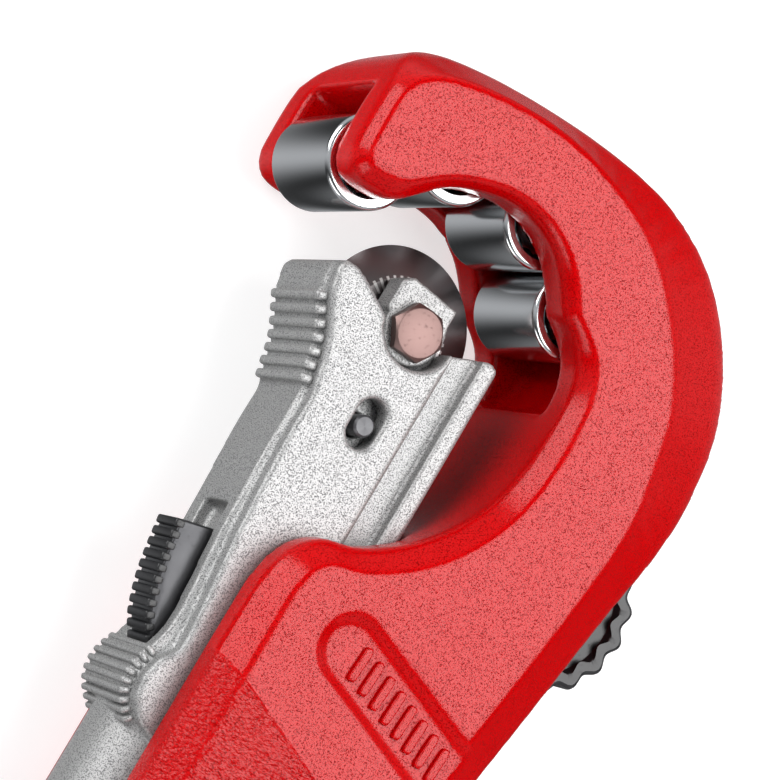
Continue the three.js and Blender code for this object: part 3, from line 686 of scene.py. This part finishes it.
def thumb_button():
    """Boat-shaped slider: a smooth cheek with eleven chunky ribs along its thumb face."""
    z_low, z_high = BUTTON_Z
    spine = smooth_path(BUTTON_SPINE, 6)
    inset = 0.15
    cheek_edge = []
    for i, p in enumerate(spine):
        along = (spine[min(i + 1, len(spine) - 1)] - spine[max(i - 1, 0)]).normalized()
        cheek_edge.append((p.x - along.y * inset, p.y + along.x * inset))
    edge = [(-6.5, -31.0), (-7.9, -31.2)] + cheek_edge + [(-6.5, -45.6)]
    cheek = rounded(extruded("button_body", edge, z_low, z_high), 0.4, 3, 40)
    piece(cheek, "button", "black_steel", BUTTON_CHEEK, "release_button")
    middle = sum(BUTTON_Z) / 2
    lane = [at(p.x + 0.3, p.y, middle) for p in spine[2:-1]]
    ribs = bars("button_ribs", lane, BLACK_PLASTIC, 11, 1.05, 1.35, z_high - z_low + 0.1, 0.45, 0.5)
    smooth(ribs, 50)
    piece(ribs, "button", "black_steel", BLACK_PLASTIC)


def feed_knob():
    low, high, radius = -145.6, -120.2, 13.5
    flutes = 12

    def swell(angle, r, height):
        if r < radius - 3.4:
            return r
        wave = max(0.0, math.cos(flutes * angle)) ** 1.6
        return r - 1.15 * wave * min(1, (r - radius + 3.4) / 1.5)

    profile = [(10.7, low), (12.6, low), (13.2, low + 0.3), (13.5, low + 1.0)]
    profile += [(13.5, low + s) for s in (4, 8, 12, 16, 19.5)]
    profile += [(13.2, high - 4.4), (12.4, high - 2.8), (11.2, high - 1.3), (9.6, high - 0.3),
                (8.4, high), (3.3, high), (3.3, low + 10), (10.7, low + 10)]
    knob = smooth(turned("knob_body", profile, at(0, 0), "Y", 240, swell), 40)
    piece(knob, "knob", "black_plastic", BLACK_PLASTIC, "feed_knob")
    end = -148.6
    cap_profile = [(0.02, end), (9.6, end), (10.6, end + 0.15), (11.8, end + 0.8), (12.5, end + 1.7),
                   (12.5, low - 0.3), (10.4, low - 0.3), (10.4, low + 2.4), (0.02, low + 2.4)]
    cap = smooth(turned("knob_end_cap", cap_profile, at(0, 0), "Y", 160), 30)
    slot_outline = [(-7, end - 1), (7, end - 1), (7, end + 1.1), (-7, end + 1.1)]
    slot = extruded("cap_slot", slot_outline, MID - 0.9, MID + 0.9)
    combine(cap, slot, "DIFFERENCE")
    smooth(cap, 30)
    piece(cap, "cap", "black_plastic", BLACK_PLASTIC, "knob_cap")


def deburrer():
    lobes, peak, valley = 17, 11.4, 10.5

    def swell(angle, r, height):
        if r < 9.3:
            return r
        return r - (peak - valley) * (0.5 - 0.5 * math.cos(lobes * angle))

    z0, z1 = 12 - MID, 17 - MID
    profile = [(1.4, z0), (3.3, z0), (3.4, z0 + 0.1), (3.4, z0 + 0.9), (8.8, z0 + 0.9), (9.0, z0 + 0.7),
               (9.2, z0 + 0.1), (9.4, z0), (peak - 0.7, z0), (peak - 0.2, z0 + 0.35), (peak, z0 + 0.9)]
    profile += [(r, -h) for r, h in reversed(profile)]
    wheel = smooth(turned("deburrer_thumb_wheel", profile, FOLD, sides=17 * 14, swell=swell), 30)
    piece(wheel, "deburrer", "black_plastic", BLACK_PLASTIC, "deburrer_wheel")
    blade = rounded(copy_of("deburrer_blade", "deburring_blade"), 0.2, 2)
    piece(blade, "deburrer", "blade_steel", BLADE, "deburrer_blade")


def recoat_cad_nodes():
    """CAD nodes that keep their own shape get their finish here."""
    wanted = {
        GROUND: ["roller_axle_1", "roller_axle_2", "roller_axle_3", "roller_axle_4", "deburrer_pin",
                 "travel_stop_pin", "button_spring"]
                + [f"needle_bearing_{i}_{side}" for i in (1, 2, 3, 4) for side in ("far", "near")],
        SPINDLE: ["feed_spindle", "spindle_collar"],
        PLATED: ["rail_screw_1", "rail_screw_2", "rail_screw_3", "rail_screw_4", "rack_screw_1",
                 "rack_screw_2", "wheel_bolt_nut"],
        RATCHET: ["ratchet_pawl", "ratchet_rack"],
        BRONZE: ["spindle_bush", "spindle_nut"],
    }
    for material, nodes in wanted.items():
        for node in nodes:
            mesh = frame["nodes"][node].data
            mesh.materials.clear()
            mesh.materials.append(material)


frame_casting()
recess_strokes()
carriage()
rollers()
cutting_wheel("cutting_disc", HUB, "Z", "wheel", "cutting_wheel")
cutting_wheel("spare_disc", at(0, -139.4), "Y", "knob", "spare_cutting_wheel")
bolt_head()
plain_pin("stop_pin", 0, -12.5, 1.3, 7.2, 22, "fork", "black_steel", BLACK_STEEL, "fork_stop_pin")
thumb_button()
feed_knob()
deburrer()
recoat_cad_nodes()


# ---------------------------------------------------------------- floor, light and camera

def stage():
    floor = new_object("studio_floor", [(-3, -3, 0), (3, -3, 0), (3, 3, 0), (-3, 3, 0)], [(0, 1, 2, 3)])
    pale = Finish("pale_floor", (0.5, 0.5, 0.5), 0.9, specular=0.1)
    pale.shader.inputs["Emission Color"].default_value = (1, 1, 1, 1)
    pale.shader.inputs["Emission Strength"].default_value = 0.66
    floor.data.materials.append(pale.material)
    floor.visible_glossy = False


def softbox(name, direction, distance, width, height, power, target):
    light = bpy.data.lights.new(name, "AREA")
    light.shape = "RECTANGLE"
    light.size = width
    light.size_y = height
    light.energy = power
    obj = bpy.data.objects.new(name, light)
    obj.location = target + Vector(direction).normalized() * distance
    obj.rotation_euler = (target - obj.location).to_track_quat("-Z", "Y").to_euler()
    bpy.context.scene.collection.objects.link(obj)
    return obj


def camera():
    """A long lens, below and to the left of the jaws, looking at the near face."""
    right = Vector((0.74356483, 0.49883015, 0.44528623))
    up = Vector((-0.53689111, 0.84233621, -0.04709185))
    back = Vector((-0.39857155, -0.20405438, 0.89414905))
    data = bpy.data.cameras.new("view")
    data.sensor_width = 36
    data.lens = 138.46
    data.clip_start = 0.01
    data.clip_end = 20
    obj = bpy.data.objects.new("view", data)
    place = at(-134.75, -76.58, 325.17)
    turn = Matrix((right, up, back)).transposed().to_4x4()
    obj.matrix_world = Matrix.Translation(place) @ turn
    bpy.context.scene.collection.objects.link(obj)
    bpy.context.scene.camera = obj


BAND_DIRECTION = (-0.455, 0.89, 0.0)     # the surroundings brighten in soft bands across this direction
BAND_CENTRE, BAND_FREQUENCY = 0.08, 7.0
BAND_STRENGTH, BAND_FLOOR = 0.5, 0.03


def light():
    target = at(5, 0, 25)
    softbox("top_box", (0.40, 0.20, 0.89), 0.9, 0.75, 0.75, 9.8, target)
    softbox("left_box", (-0.95, 0.25, 0.35), 0.7, 0.45, 0.7, 5.0, target)
    softbox("low_fill", (-0.2, -0.95, 0.35), 0.9, 0.5, 0.3, 1.5, target)
    world = bpy.data.worlds.new("studio")
    world.use_nodes = True
    tree = world.node_tree
    sky = tree.nodes["Background"]
    sky.inputs["Color"].default_value = (0.95, 0.97, 1.0, 1)
    across = tree.nodes.new("ShaderNodeVectorMath")
    across.operation = "DOT_PRODUCT"
    across.inputs[1].default_value = BAND_DIRECTION
    tree.links.new(tree.nodes.new("ShaderNodeTexCoord").outputs["Generated"], across.inputs[0])
    offset = math_node(tree, "SUBTRACT", across.outputs["Value"], BAND_CENTRE)
    phase = math_node(tree, "MULTIPLY", offset, BAND_FREQUENCY)
    half_wave = math_node(tree, "MULTIPLY", math_node(tree, "COSINE", phase), 0.5)
    wave = math_node(tree, "ADD", half_wave, 0.5)
    strength = math_node(tree, "ADD", math_node(tree, "MULTIPLY", wave, BAND_STRENGTH), BAND_FLOOR)
    tree.links.new(strength, sky.inputs["Strength"])
    bpy.context.scene.world = world
    bpy.context.scene.view_settings.view_transform = "Standard"


stage()
camera()
light()
